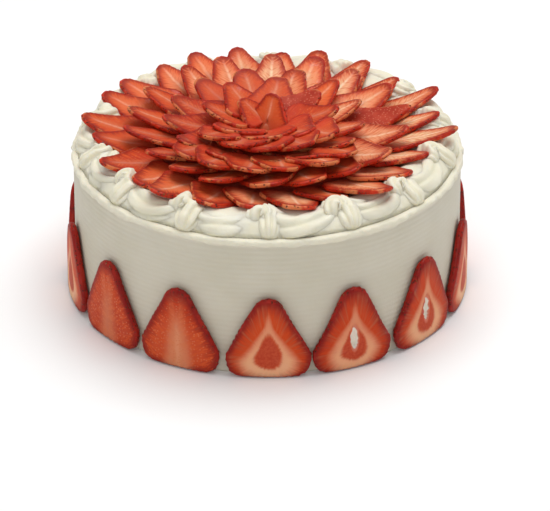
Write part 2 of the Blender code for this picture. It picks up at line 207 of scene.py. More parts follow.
def ease(value, low, high):
    """0 below low, 1 above high, and a smooth step between, on whole arrays."""
    share = np.clip((value - low) / (high - low), 0.0, 1.0)
    return share * share * (3.0 - 2.0 * share)


def rounded(way, reach):
    """A round end: a quarter circle up from 0 at the end to 1 at this reach from it, and then 1."""
    fall = 1.0 - np.clip(way / reach, 0.0, 1.0)
    return np.sqrt(1.0 - fall * fall)


def slot_distance(across, along):
    """How far a point of a slice is from the middle of its hollow, squared; the hollow ends at 1.
    It takes arrays and shader values alike."""
    wide = across * (1.0 / SLOT_HALF_WIDTH)
    tall = (along - SLOT_MIDDLE) * (1.0 / SLOT_HALF_LENGTH)
    return wide * wide + tall * tall


def ripple(angle, seed, waves):
    """A slow uneven wave round a circle: sines of whole wave counts, each with its own phase."""
    total = np.zeros_like(angle)
    for number, count in enumerate(waves):
        total += np.sin(count * angle + TAU * wobble(seed, number)) / len(waves)
    return total


# Meshes from grids


def grid_faces(rows, columns, wrap_rows, wrap_columns):
    """The quads of a grid whose points run along a row first, closed in either direction."""
    row = np.arange(rows if wrap_rows else rows - 1)[:, None]
    column = np.arange(columns if wrap_columns else columns - 1)[None, :]
    next_row = (row + 1) % rows
    next_column = (column + 1) % columns
    corners = (
        row * columns + column,
        row * columns + next_column,
        next_row * columns + next_column,
        next_row * columns + column,
    )
    return np.stack([corner.ravel() for corner in corners], axis=1)


def stacked(*numbers):
    """Numbers of a grid's points side by side, each given whole, as a column or as a row."""
    return np.stack(np.broadcast_arrays(*numbers), axis=2)


def pointed_grid(rows, columns):
    """For a grid that is closed round its rows and shrinks to a point in its first and last: which
    points to keep, one of each of those two rows, and the faces between the kept ones."""
    count = rows * columns
    ring = np.arange(columns)
    next_ring = (ring + 1) % columns
    low, high = columns, (rows - 2) * columns
    quads = grid_faces(rows - 2, columns, False, True) + columns
    first_fan = np.stack([np.zeros_like(ring), low + next_ring, low + ring], axis=1)
    last_fan = np.stack([np.full_like(ring, count - 1), high + ring, high + next_ring], axis=1)
    keep = np.r_[0, columns : count - columns, count - 1]
    renumber = np.zeros(count, int)
    renumber[keep] = np.arange(len(keep))
    return keep, [renumber[group] for group in (quads, first_fan, last_fan)]


def make_piece(name, points, faces, material, values=None):
    """A smooth object from a point array and a list of face arrays, with its named values stored
    on the points: one number each, or three."""
    mesh = bpy.data.meshes.new(name)
    flat = [array.tolist() for array in faces]
    mesh.from_pydata(points.tolist(), [], [face for group in flat for face in group])
    for label, data in (values or {}).items():
        kind = "FLOAT" if data.ndim == 1 else "FLOAT_VECTOR"
        layer = mesh.attributes.new(label, kind, "POINT")
        field = "value" if data.ndim == 1 else "vector"
        layer.data.foreach_set(field, data.astype(np.float32).ravel())
    mesh.shade_smooth()
    mesh.materials.append(material)
    mesh.validate()
    mesh.update()
    piece = bpy.data.objects.new(name, mesh)
    bpy.context.scene.collection.objects.link(piece)
    return piece


def place_piece(piece, nodes):
    """The piece rides on the cake and stands for these nodes."""
    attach(piece, "root")
    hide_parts(*nodes)


# Shader values as arithmetic


class Value:
    """One socket of a finish's node tree, which reads as arithmetic."""

    def __init__(self, finish, socket):
        self.finish = finish
        self.socket = socket

    def maths(self, operation, first, second=0.0, clamp=False):
        """A Math node on two values or numbers."""
        sockets = {0: first, 1: second}
        settings = {"operation": operation, "use_clamp": clamp}
        return self.finish.node("ShaderNodeMath", settings, sockets)

    def __add__(self, other):
        return self.maths("ADD", self, other)

    __radd__ = __add__

    def __sub__(self, other):
        return self.maths("SUBTRACT", self, other)

    def __rsub__(self, other):
        return self.maths("SUBTRACT", other, self)

    def __mul__(self, other):
        return self.maths("MULTIPLY", self, other)

    __rmul__ = __mul__

    def step(self, low, high):
        """0 at low, 1 at high, smooth between, and held outside."""
        settings = {"interpolation_type": "SMOOTHSTEP"}
        sockets = {"Value": self, "From Min": low, "From Max": high}
        return self.finish.node("ShaderNodeMapRange", settings, sockets)

    def kept(self):
        """The value held between 0 and 1."""
        return self.maths("ADD", self, clamp=True)

    def size(self):
        """The value without its sign."""
        return self.maths("ABSOLUTE", self)

    def root(self):
        """The square root."""
        return self.maths("SQRT", self)


class Finish:
    """A material's node tree, and the one way of adding a node to it."""

    def __init__(self, name, constants):
        self.material = bpy.data.materials.new(name)
        self.material.use_nodes = True
        self.tree = self.material.node_tree
        self.shader = self.tree.nodes["Principled BSDF"]
        for label, number in constants.items():
            self.shader.inputs[label].default_value = number

    def node(self, kind, settings, sockets, output=0):
        """Adds a node, first its settings, then the values or links of its sockets."""
        made = self.tree.nodes.new(kind)
        for label, setting in settings.items():
            setattr(made, label, setting)
        for label, value in sockets.items():
            self.feed(made.inputs[label], value)
        return Value(self, made.outputs[output])

    def feed(self, socket, value):
        """Links a value to a socket, or writes a plain number or colour on it."""
        if isinstance(value, Value):
            self.tree.links.new(value.socket, socket)
        elif hasattr(value, "__len__") and len(value) == 3 and socket.type == "RGBA":
            socket.default_value = (*value, 1.0)
        else:
            socket.default_value = value

    def read(self, label):
        """A named value of the mesh, as one number."""
        return self.node("ShaderNodeAttribute", {"attribute_name": label}, {}, "Fac")

    def read_three(self, label):
        """A named value of the mesh, as its vector and its three numbers."""
        vector = self.node("ShaderNodeAttribute", {"attribute_name": label}, {}, "Vector")
        return vector, self.split(vector)

    def split(self, vector):
        """A vector's three numbers."""
        parts = self.node("ShaderNodeSeparateXYZ", {}, {"Vector": vector})
        outputs = parts.socket.node.outputs
        return [Value(self, outputs[axis]) for axis in "XYZ"]

    def place(self):
        """The point on the object, in metres."""
        return self.node("ShaderNodeTexCoord", {}, {}, "Object")

    def noise(self, vector, scale, detail=2.0, roughness=0.5):
        """Soft noise from 0 to 1."""
        sockets = {"Vector": vector, "Scale": scale, "Detail": detail, "Roughness": roughness}
        return self.node("ShaderNodeTexNoise", {}, sockets)

    def spots(self, vector, scale, randomness):
        """The distance to the nearest of many scattered points, in their spacing."""
        sockets = {"Vector": vector, "Scale": scale, "Randomness": randomness}
        return self.node("ShaderNodeTexVoronoi", {"feature": "F1"}, sockets, "Distance")

    def stretch(self, vector, scales):
        """The vector with each axis scaled."""
        settings = {"operation": "MULTIPLY"}
        return self.node("ShaderNodeVectorMath", settings, {0: vector, 1: scales})

    def blend(self, factor, first, second):
        """The first colour at factor 0, the second at factor 1."""
        sockets = {0: factor, 6: first, 7: second}
        return self.node("ShaderNodeMix", {"data_type": "RGBA"}, sockets, 2)

    def bump(self, height, distance, strength, normal=None):
        """A normal tilted by a height."""
        sockets = {"Height": height, "Distance": distance, "Strength": strength}
        if normal is not None:
            sockets["Normal"] = normal
        return self.node("ShaderNodeBump", {}, sockets)

    def dress(self, label, value):
        """Feeds a value to one of the shader's sockets."""
        self.feed(self.shader.inputs[label], value)


def coat_finish():
    """The smooth cream: warm off-white, its side painted darker than its lip and top as painted
    shade, painted shade in the comb's grooves, finely pitted, and painted deep red under the flower
    as the red shade of the gaps between the slices."""
    finish = Finish(
        "smooth_cream_coat",
        {"Subsurface Weight": 0.25, "Subsurface Scale": 0.004, "Specular IOR Level": 0.35},
    )
    finish.shader.inputs["Subsurface Radius"].default_value = (1.0, 0.8, 0.55)
    place = finish.place()
    groove = finish.read("groove")
    crumple_and_painted_light = finish.read("crumple_and_painted_light")
    cloud = finish.noise(place, 38.0, 3.0)
    speck = finish.noise(place, 900.0, 3.0, 0.7)
    # The side is painted darker than the lip and top, which share the piped cream's colour: painted
    # shade on the side and painted light on the top
    colour = finish.blend(cloud.step(0.3, 0.7), (0.62, 0.577, 0.46), (0.66, 0.615, 0.505))
    colour = finish.blend(crumple_and_painted_light, colour, (0.80, 0.755, 0.61))
    # Painted shade in the comb's grooves
    colour = finish.blend((groove * 0.4).kept(), colour, (0.61, 0.55, 0.42))
    across, along, height = finish.split(place)
    radius = (across * across + along * along).root()
    # Painted deep red shade under the flower, where the cream shows in the gaps between the slices
    painted_gap_shade = radius.step(0.070, 0.054) * height.step(0.07, 0.075)
    colour = finish.blend(painted_gap_shade * 0.95, colour, (0.72, 0.055, 0.022))
    finish.dress("Base Color", colour)
    finish.dress("Roughness", 0.5 + 0.12 * speck)
    crumple = finish.noise(place, 330.0, 3.0, 0.55)
    folds = finish.bump(crumple * crumple_and_painted_light, 0.0014, 0.75)
    finish.dress("Normal", finish.bump(speck, 0.0003, 0.35, folds))
    return finish.material


def border_finish():
    """The piped cream: near white on its ridges, with yellowish painted shade in its creases and in
    the crinkled hollows low at its foot, tinted with juice where a slice lies on it."""
    finish = Finish(
        "piped_cream_border",
        {"Subsurface Weight": 0.3, "Subsurface Scale": 0.004, "Specular IOR Level": 0.4},
    )
    finish.shader.inputs["Subsurface Radius"].default_value = (1.0, 0.82, 0.6)
    place = finish.place()
    crease_shade = finish.read("crease_shade")
    juice = finish.read("juice")
    crumple_and_painted_light = finish.read("crumple_and_painted_light")
    cloud = finish.noise(place, 70.0, 3.0)
    speck = finish.noise(place, 1100.0, 3.0, 0.7)
    colour = finish.blend(cloud.step(0.3, 0.7), (0.80, 0.75, 0.59), (0.85, 0.80, 0.65))
    crumple = finish.noise(place, 330.0, 3.0, 0.55)
    # Painted yellowish shade in the creases
    colour = finish.blend((crease_shade * 0.5).kept(), colour, (0.82, 0.75, 0.50))
    # Painted yellowish shade in the hollows of the crinkles low at the foot
    hollow = (crumple_and_painted_light * crumple.step(0.55, 0.38)).kept()
    colour = finish.blend(hollow * 0.6, colour, (0.84, 0.77, 0.48))
    stain = (juice * (0.35 + 0.9 * cloud)).kept()
    colour = finish.blend(stain * 0.5, colour, (0.86, 0.52, 0.42))
    finish.dress("Base Color", colour)
    finish.dress("Roughness", 0.40 + 0.15 * speck)
    folds = finish.bump(crumple * (0.25 + crumple_and_painted_light), 0.0014, 0.75)
    finish.dress("Normal", finish.bump(speck, 0.00025, 0.3, folds))
    return finish.material


def berry_finish():
    """A cut strawberry: dark seeded skin on the rim, red flesh under it that lightens inwards and
    is crossed by pale fibres. A cut through the whole berry shows a soft pale band round a redder
    heart, in some slices a hollow; a cut beside the heart has a pale middle and a paler streak; a
    slice of mere skin is red with light dots."""
    finish = Finish(
        "cut_strawberry",
        {
            "Subsurface Weight": 0.30,
            "Subsurface Scale": 0.004,
            "Coat Roughness": 0.10,
            "Specular IOR Level": 0.12,
        },
    )
    finish.shader.inputs["Subsurface Radius"].default_value = (1.0, 0.25, 0.12)
    place = finish.place()
    _, (heart, band, reach) = finish.read_three("cut")
    skin_place, (_, _, rind) = finish.read_three("skin")
    _, (tone, pale, hollow) = finish.read_three("nature")
    fibre_place, _ = finish.read_three("fibre")
    _, (across, along, grazed) = finish.read_three("flat")
    _, _, height = finish.split(place)

    high = height.step(0.07, 0.08)
    cloud = finish.noise(place, 160.0, 3.0)
    mottle = finish.noise(place, 700.0, 3.0, 0.6)
    spokes = finish.noise(finish.stretch(fibre_place, (13.0, 13.0, 1.0)), 1.0, 2.0, 0.6)
    freckles = finish.spots(place, 620.0, 0.85).step(0.34, 0.20)
    aside = (across + 0.12 * (cloud - 0.5)).size()
    slant = along * FEATHER_ALONG - aside * FEATHER_ASIDE
    feather_place = {"X": slant, "Y": aside, "Z": height * 300.0}
    feather_place = finish.node("ShaderNodeCombineXYZ", {}, feather_place)
    feather = finish.noise(feather_place, 1.0, 2.0, 0.65)
    fibres = spokes + grazed * (feather - spokes)
    ragged = 0.80 * (fibres - 0.5) + 0.14 * (cloud - 0.5)

    # The flesh, from the thin dark line under the skin to its lighter inside
    deep = finish.blend(tone, (0.28, 0.008, 0.004), (0.54, 0.030, 0.007))
    light = finish.blend(tone, (0.50, 0.030, 0.005), (0.86, 0.130, 0.016))
    flesh = finish.blend((reach + ragged).step(0.99, 0.58), deep, light)
    flesh = finish.blend(reach.step(0.80, 0.95) * 0.85, flesh, (0.25, 0.010, 0.005))
    cream = finish.blend(pale.step(0.00, 0.55), (0.46, 0.038, 0.020), (0.83, 0.155, 0.040))
    cream = finish.blend(pale.step(0.30, 0.95), cream, (0.92, 0.59, 0.34))
    thread = fibres.step(0.42, 0.74) * reach.step(0.35, 0.65) * reach.step(0.99, 0.86)
    flesh = finish.blend((thread * (0.08 + 0.22 * pale)).kept(), flesh, (0.84, 0.30, 0.12))

    # A whole heart: a pale band, softer outwards and palest at the base, and a blotchy core
    soft = 0.22 * (fibres - 0.5) + 0.20 * (cloud - 0.5)
    in_band = (heart + soft).step(0.80, 1.15) * (band + soft).step(1.25, 0.70)
    low = 0.62 + 0.38 * along.step(0.55, 0.1)
    whole = finish.blend((in_band * low * (0.30 + 0.60 * pale)).kept(), flesh, cream)
    core = finish.blend(mottle.step(0.3, 0.7), (0.48, 0.048, 0.018), (0.56, 0.085, 0.032))
    whole = finish.blend((heart + soft).step(1.20, 0.72) * 0.9, whole, core)

    # A cut beside the heart: a pale middle, redder along both sides of a paler streak
    smear = (aside + 0.34 * along).step(0.50, 0.08) * along.step(0.90, 0.40)
    inside = (reach + ragged).step(0.90, 0.54)
    inside = inside * (high + (1.0 - high) * along.step(0.80, 0.40))
    middle = finish.blend((inside * (0.60 + 0.36 * pale)).kept(), flesh, cream)
    stripe = fibres.step(0.55, 0.36) * inside * (1.0 - 0.6 * smear)
    middle = finish.blend((stripe * 0.75).kept(), middle, (0.66, 0.095, 0.018))
    blur = smear * (0.22 - 0.15 * high + (2.3 - 2.05 * high) * pale)
    middle = finish.blend(blur.kept(), middle, (0.76, 0.33, 0.17))
    flank = aside.step(0.02, 0.08) * aside.step(0.25, 0.12) * along.step(0.95, 0.7)
    middle = finish.blend((flank * (0.85 - fibres).kept()).kept(), middle, (0.68, 0.18, 0.07))
    streak = aside.step(0.09, 0.0) * along.step(0.12, 0.35) * along.step(0.95, 0.72)
    streak = streak * (0.1 + 0.9 * fibres) * (0.25 + 0.70 * pale) * high
    middle = finish.blend(streak.kept(), middle, (0.94, 0.72, 0.52))
    dotted = freckles * (0.65 - pale).kept() * (1.5 - 0.9 * high)
    middle = finish.blend((dotted * reach.step(0.95, 0.7)).kept(), middle, (0.66, 0.18, 0.08))
    colour = finish.blend(grazed, whole, middle)

    # The flower's bases, in shade under the next slices, painted a saturated red as painted light
    painted_base_light = along.step(0.42, 0.15) * high
    colour = finish.blend(painted_base_light * 0.5, colour, (0.62, 0.050, 0.020))

    # A slice of skin, and a hollow, which shows what is behind it
    skinned = finish.blend(cloud.step(0.3, 0.7), (0.38, 0.030, 0.012), (0.50, 0.060, 0.028))
    skinned = finish.blend(freckles * 0.5, skinned, (0.66, 0.22, 0.13))
    colour = finish.blend((0.0 - hollow).kept(), colour, skinned)
    off_slot = slot_distance(across, along) + 0.8 * (cloud - 0.5)
    round_slot = off_slot.step(2.4, 1.2) * 0.5 * hollow.kept()
    colour = finish.blend(round_slot, colour, (0.82, 0.36, 0.24))
    in_slot = off_slot.step(1.25, 0.95) * hollow.kept()
    colour = finish.blend(in_slot, colour, (0.86, 0.78, 0.68))

    # The skin, and the seeds in it
    seeds = finish.spots(finish.stretch(skin_place, (1.0, 1.25, 0.0)), 0.60, 0.7)
    pit = seeds.step(0.45, 0.20)
    seed = seeds.step(0.33, 0.22)
    skin = finish.blend(cloud.step(0.3, 0.7), (0.24, 0.008, 0.006), (0.40, 0.018, 0.008))
    # On the flower the skin is painted lighter than on the standing slices: painted light
    lit_skin = finish.blend(cloud.step(0.3, 0.7), (0.34, 0.014, 0.006), (0.58, 0.040, 0.010))
    skin = finish.blend(high, skin, lit_skin)
    patch = finish.noise(place, 95.0, 3.0).step(0.50, 0.60) * high
    skin = finish.blend(patch * 0.75, skin, (0.72, 0.25, 0.09))
    skin = finish.blend(pit * 0.35, skin, (0.20, 0.006, 0.004))
    grain = finish.blend(mottle.step(0.58, 0.66), (0.11, 0.018, 0.008), (0.40, 0.18, 0.05))
    skin = finish.blend(seed, skin, grain)
    colour = finish.blend(rind, colour, skin)

    finish.dress("Base Color", colour)
    finish.dress("Roughness", (0.40 + 0.22 * mottle + 0.1 * fibres) - 0.12 * rind)
    finish.dress("Coat Weight", (0.04 + 0.10 * rind + 0.45 * cloud.step(0.60, 0.75)).kept())
    flesh_bump = finish.bump((fibres * 0.6 + mottle * 0.4) * (1.0 - rind), 0.0006, 0.35)
    dimple = finish.bump((1.0 - pit) * rind, 0.0006, 0.8, flesh_bump)
    finish.dress("Normal", dimple)
    return finish.material


def floor_finish():
    """A plain pale sweep."""
    finish = Finish("pale_floor", {"Roughness": 0.7, "Base Color": (0.97, 0.97, 0.97, 1.0)})
    return finish.material


# The slices


def outline_half_width(share, base_share, tip_round):
    """Half width as a share of the greatest: a quarter ellipse from the cut base up to the widest
    place, then a cone with a round cap."""
    low = base_share + (1.0 - base_share) * rounded(share, WIDEST_SHARE)
    left = (1.0 - share) / (1.0 - WIDEST_SHARE)
    high = (1.0 - tip_round) * left + tip_round * rounded(left, CAP_SHARE)
    return np.where(share < WIDEST_SHARE, low, high)


def slice_outline(width, length, form):
    """Points evenly spaced round a slice's edge, from the middle of its base up the right side,
    over the tip and down the left. The base's corners are softly rounded."""
    share = 0.5 - 0.5 * np.cos(np.linspace(0.0, math.pi, 160))
    half = 0.5 * width * outline_half_width(share, *form)
    corner = 1.0 - 0.10 * (1.0 - ease(share, 0.0, 0.05))
    side = np.stack([half * corner, share * length], axis=1)
    base = np.stack([np.linspace(0.0, side[0, 0], 20)[:-1], np.zeros(19)], axis=1)
    right = np.concatenate([base, side])
    left = right[::-1] * (-1.0, 1.0)
    loop = np.concatenate([right, left[1:]])
    run = np.concatenate([[0.0], np.cumsum(np.hypot(*np.diff(loop, axis=0).T))])
    at = np.linspace(0.0, run[-1], OUTLINE_POINTS, endpoint=False)
    edge = np.stack([np.interp(at, run, loop[:, axis]) for axis in (0, 1)], axis=1)
    return edge, at


def drop_distance(across, up, reach, taper):
    """Distance from a drop's middle, 1 on its edge: hypot(across / w, up / h). w is the first of
    reach narrowed by taper times up, and h is its second above the middle, its third below."""
    half_width, above, below = reach
    narrowed = half_width * np.clip(1.0 - taper * up, 0.2, 1.15)
    return np.hypot(across / narrowed, up / np.where(up > 0.0, above, below))


def spoke_profile():
    """A slice's spoke from the middle of the cut face out to the edge, round the rim and back in
    under: share of the way out, height in thicknesses, and how much of it is skin."""
    out = np.array(FACE_SHARES)
    face = np.ones_like(out)
    rim = np.linspace(0.0, math.pi, RIM_POINTS)
    rim_share = RIM_INSET + (1.0 - RIM_INSET) * np.sin(rim)
    share = np.concatenate([out, rim_share, out[::-1]])
    height = np.concatenate([0.5 * face, 0.5 * np.cos(rim), -0.5 * face])
    skin = np.concatenate([0.0 * face, [0.2], np.ones(RIM_POINTS - 2), [0.2], 0.0 * face])
    return share, height, skin


def slice_surface(index, size, form, hollow, notch):
    """A slice in its own plane, as rings of points that have one point on each spoke. Returns the
    points and what the finish reads."""
    width, length, thickness = size
    edge, run = slice_outline(width, length, form)
    columns = len(edge)
    around = TAU * np.arange(columns) / columns
    middle = MIDDLE_SHARE * length
    spoke = edge - (0.0, middle)

    share, height, skin = spoke_profile()

    # Seeds notch the edge, and the rim swells a little between them
    seed_wave = np.sin(TAU * run / SEED_PITCH + 2.0 * wobble(index, 21))
    swell = 1.0 + 0.022 * ripple(around, index + 40, (2, 3, 5))
    bite = notch * (0.5 + 0.5 * seed_wave) * (1.0 + 0.5 * np.sin(3 * around))
    reach = np.hypot(spoke[:, 0], spoke[:, 1])
    edge_scale = swell - bite / np.maximum(reach, 4 * MM)
    spread = share[:, None] * (1.0 + ease(share[:, None], 0.7, 1.0) * (edge_scale - 1.0)[None, :])
    across = spread * spoke[:, 0]
    along = middle + spread * spoke[:, 1]
    lift = np.repeat((height * thickness)[:, None], columns, axis=1)

    # The heart and the pale band round it are drops with their points up, a little uneven
    place = (2.0 * across / width, along / length - MIDDLE_SHARE)
    heart = drop_distance(*place, HEART_DROP, 1.8)
    band = drop_distance(*place, BAND_DROP, 2.0)
    heart *= 1.0 + 0.08 * ripple(around, index + 60, (1, 2, 4))[None, :]
    band *= 1.0 + 0.08 * ripple(around, index + 80, (1, 3, 4))[None, :]

    # A hollow sinks into the face, and the face is never quite flat
    top = (height > 0.45).astype(float)[:, None]
    slot = 1.0 - ease(slot_distance(2.0 * across / width, along / length), 0.7, 1.3)
    lift -= top * max(hollow, 0.0) * SLOT_DEPTH * thickness * slot
    lift -= top * 0.05 * thickness * (1.0 - ease(np.abs(heart - 1.0), 0.0, 0.35))

    # Where the skin's seeds and the fibres lie, in a pattern that no other slice has
    seed = 13.7 * index
    skin_across = np.concatenate([[0.0], np.cumsum(np.abs(np.diff(height * thickness)))])
    skin_across = skin_across[:, None] / MM + seed
    values = {
        "cut": stacked(heart, band, share[:, None]),
        "skin": stacked(run[None, :] / MM + seed, skin_across, skin[:, None]),
        "fibre": stacked(np.cos(around)[None, :], np.sin(around)[None, :], share[:, None] + seed),
    }
    return stacked(across, along, lift), values


def slice_arrays(index, size, form, nature, bend, notch):
    """The points, faces and values of one slice, before it is laid in its place, its tip bent
    aside. nature holds its tone, paleness, hollow and graze, each from 0 to 1, and a hollow of -1
    for a slice of mere skin."""
    width, length, _ = size
    tone, pale, hollow, grazed = nature
    points, values = slice_surface(index, size, form, hollow, notch)
    rows, columns = points.shape[:2]
    share = points[:, :, 1] / length
    across = 2.0 * points[:, :, 0] / width
    points[:, :, 0] += bend * share * share
    count = rows * columns
    values = {label: data.reshape(-1, 3) for label, data in values.items()}
    values["nature"] = np.tile((tone, pale, hollow), (count, 1))
    graze = np.full(count, float(grazed))
    values["flat"] = np.stack([across.ravel(), share.ravel(), graze], axis=1)
    keep, faces = pointed_grid(rows, columns)
    values = {label: data[keep] for label, data in values.items()}
    return points.reshape(-1, 3)[keep], faces, values


def join_arrays(parts):
    """Several slices' arrays as one."""
    points = np.concatenate([part[0] for part in parts])
    starts = np.cumsum([0] + [len(part[0]) for part in parts])[:-1]
    faces = [group + start for part, start in zip(parts, starts) for group in part[1]]
    values = {
        label: np.concatenate([part[2][label] for part in parts]) for label in parts[0][2]
    }
    return points, faces, values


def head_distance(azimuth):
    """How far this azimuth is from the nearest head of the border."""
    turns = (azimuth - FIRST_HEAD) / LOOP_ANGLE
    return abs(turns - round(turns)) * LOOP_ANGLE


def ring_slope(ring):
    """How steeply a ring's slices rise, before their curl."""
    run = ring.tip_radius - ring.base_radius
    return math.atan2(ring.tip_height - ring.curl - ring.base_height, run)


def ring_slice_sizes(ring, number):
    """Width, length and form of one slice of a ring, the azimuth it points to, and its step's."""
    seed = number + 100 * ring.count
    step = math.radians(ring.phase + ring.step * number)
    azimuth = step + AZIMUTH_SPREAD * wobble(seed, 1)
    length = (ring.tip_radius - ring.base_radius) / math.cos(ring_slope(ring))
    length += TIP_SPREAD * wobble(seed, 2)
    front = -math.sin(azimuth)
    if ring is OUTER_RING:
        near = max(0.0, 1.0 - (head_distance(azimuth) / HEAD_PUSH_ANGLE) ** 2)
        length += FLOWER_OVAL * math.cos(2 * azimuth) - HEAD_PUSH * near * min(1.0, 1.0 + front)
    width = ring.width * (1 + WIDTH_SPREAD * wobble(seed, 3) + FRONT_SPREAD * max(front, 0.0))
    tip_round = TIP_ROUND * (1 + 0.15 * front - SIDE_POINT * math.cos(azimuth) ** 2)
    form = (FLOWER_BASE_SHARE, tip_round + TIP_ROUND_SPREAD * wobble(seed, 4))
    return width, length, form, azimuth, step


def ring_height(ring, radius, past_step):
    """Height of a ring's middle surface: a cone round the cake's axis, which also climbs like a
    spiral stair, one slice's thickness and its lap from each slice to the next, so that neighbours
    lie on each other like tiles, and curls up towards the tips with the cube of the way out.
    past_step is the angle clockwise from the slice's own step."""
    slope = ring_slope(ring)
    climb = (SLICE_THICKNESS + ring.lap) / math.cos(slope) / math.radians(ring.step)
    out = radius - ring.base_radius
    rise = math.tan(slope) * out + climb * ring.lean * past_step
    rise = rise + ring.curl * (np.maximum(out, 0.0) / (ring.tip_radius - ring.base_radius)) ** 3
    return CAKE_HEIGHT + ring.base_height + rise


def lay_on_ring(points, ring, azimuth, step):
    """Carries a flat slice onto its ring: base in, tip out, bent to the cone and the stair. In a
    ring without a stair the slices stay flat, and cross in the middle."""
    slope = ring_slope(ring)
    out = ring.base_radius + points[:, 1] * math.cos(slope)
    around = azimuth - np.arctan2(points[:, 0], out)
    radius = np.hypot(points[:, 0], out)
    rising = radius if ring.lean else out
    height = ring_height(ring, rising, step - around) + points[:, 2] * math.cos(slope)
    radius = radius - points[:, 2] * math.sin(slope)
    return np.stack([radius * np.cos(around), radius * np.sin(around), height], axis=1)


def flower_nature(ring, number, depth, azimuth):
    """Tone, paleness, hollow and graze of a slice in the flower. The slices are most orange at the
    back and palest to its right, redder towards the heart and at the left. Two show mere skin, and
    a few part of a whole heart."""
    seed = number + 100 * ring.count
    front = max(0.0, -math.sin(azimuth))
    tone = 0.46 - 0.22 * depth + 0.46 * math.cos(azimuth - 1.2) + 0.22 * wobble(seed, 31)
    pale = 0.52 - 0.55 * depth + 0.46 * math.cos(azimuth - 0.9) + 0.30 * front * front
    pale += 0.22 * wobble(seed, 32)
    hollow = -1.0 if (ring.name, number) in SKIN_UP else 0.0
    grazed = 1.0 if wobble(seed, 34) > -0.6 else 0.6
    return min(max(tone, 0.0), 1.0), min(max(pale, 0.0), 1.0), hollow, grazed


def flower_slice(ring, number, depth):
    """One slice of the flower, in place."""
    width, length, form, azimuth, step = ring_slice_sizes(ring, number)
    seed = number + 100 * ring.count
    bend = 1.8 * MM * wobble(seed, 37)
    size = (width, length, SLICE_THICKNESS)
    nature = flower_nature(ring, number, depth, azimuth)
    points, faces, values = slice_arrays(seed, size, form, nature, bend, FLOWER_NOTCH)
    return lay_on_ring(points, ring, azimuth, step), faces, values


def make_flower_piece(node, wanted, berry):
    """The slices that stand for one node, each given as its ring, number and depth."""
    points, faces, values = join_arrays([flower_slice(*one) for one in wanted])
    piece = make_piece(f"cut_{node}", points, faces, berry, values)
    place_piece(piece, [node])


def make_flower(berry):
    """The rings of the flower: the outer two slice by slice, the rest as the solids have them.
    Depth grows from the outer ring at 0 to the bud, and makes the slices redder."""
    for ring, depth in ((OUTER_RING, 0.0), (INNER_RING, 0.35)):
        for number in range(ring.count):
            node = f"{ring.name}_slice_{number + 1:02d}"
            make_flower_piece(node, [(ring, number, depth)], berry)
    third = [(THIRD_RING, number, 0.7) for number in range(THIRD_RING.count)]
    third += [(THIRD_FRONT, number, 0.5) for number in range(THIRD_FRONT.count)]
    make_flower_piece("flower_ring_3", third, berry)
    heart = [(FOURTH_RING, number, 1.0) for number in range(FOURTH_RING.count)]
    heart += [(FOURTH_FRONT, number, 0.9) for number in range(FOURTH_FRONT.count)]
    heart += [(LEAF_RING, 0, 1.0), (BUD_RING, 0, 1.5)]
    make_flower_piece("flower_heart", heart, berry)


def side_nature(number):
    """Tone, paleness, hollow and graze of a standing slice. The front ones follow the photograph:
    a whole heart in the middle, hollow hearts to its right, grazed cuts to its left."""
    shown = {
        0: (0.32, 0.80, 0.0, 0.0),
        1: (0.20, 0.75, 1.0, 0.0),
        2: (0.22, 0.80, 1.0, 0.0),
        3: (0.22, 0.85, 0.0, 0.0),
        13: (0.15, 0.25, 0.0, 1.0),
        12: (0.35, 0.08, 0.0, 1.0),
        11: (0.35, 0.85, 0.0, 0.0),
    }
    if number in shown:
        return shown[number]
    hollow = 1.0 if wobble(number, 43) > 0.3 else 0.0
    grazed = 1.0 if wobble(number, 44) > 0.4 and not hollow else 0.0
    return 0.35 + 0.2 * wobble(number, 41), 0.8 + 0.15 * wobble(number, 42), hollow, grazed


def make_side_slices(berry):
    """The slices that stand round the foot, tips up, bent to the side of the cake."""
    face_radius = CAKE_RADIUS + SIDE_STAND_OFF
    for number in range(SIDE_COUNT):
        azimuth = FIRST_SIDE + TAU * number / SIDE_COUNT
        azimuth += math.radians(0.7) * wobble(number, 11)
        width = SIDE_WIDTH * (1 + 0.03 * wobble(number, 12))
        height = SIDE_HEIGHT * (1 + 0.03 * wobble(number, 13))
        bend = MM * wobble(number, 14)
        size = (width, height, SIDE_THICKNESS)
        nature = side_nature(number)
        points, faces, values = slice_arrays(
            number + 7, size, SIDE_FORM, nature, bend, SIDE_NOTCH
        )
        angle = azimuth + points[:, 0] / face_radius
        reach = face_radius + 0.5 * SIDE_THICKNESS + points[:, 2]
        lift = np.maximum(points[:, 1], 0.0) + GAP
        laid = np.stack([reach * np.cos(angle), reach * np.sin(angle), lift], axis=1)
        node = f"side_slice_{number + 1:02d}"
        piece = make_piece(f"cut_{node}", laid, faces, berry, values)
        place_piece(piece, [node])


# The cream


def coat_profile():
    """Radius and height of the cake's outline: out under it, up the side, over the rounded edge,
    in across the top and up the low mound that carries the flower."""
    foot = np.array([0.0, 0.6 * CAKE_RADIUS, CAKE_RADIUS - 0.8 * MM])
    side = np.linspace(0.8 * MM, CAKE_HEIGHT - EDGE_RADIUS, COAT_SIDE_ROWS)
    turn = np.linspace(0.0, 0.5 * math.pi, 7)[1:]
    flat = CAKE_RADIUS - np.array([6.0, 14.0, 24.0]) * MM
    mound = np.linspace(MOUND_RADIUS, 0.0, 12)
    mound_rise = MOUND_HEIGHT * (1.0 - (mound / MOUND_RADIUS) ** MOUND_POWER)
    radius = np.concatenate(
        [
            foot,
            np.full(len(side), CAKE_RADIUS),
            CAKE_RADIUS - EDGE_RADIUS + EDGE_RADIUS * np.cos(turn),
            flat,
            mound,
        ]
    )
    height = np.concatenate(
        [
            0.0 * foot,
            side,
            CAKE_HEIGHT - EDGE_RADIUS + EDGE_RADIUS * np.sin(turn),
            np.full(len(flat), CAKE_HEIGHT),
            CAKE_HEIGHT + mound_rise,
        ]
    )
    return radius, height


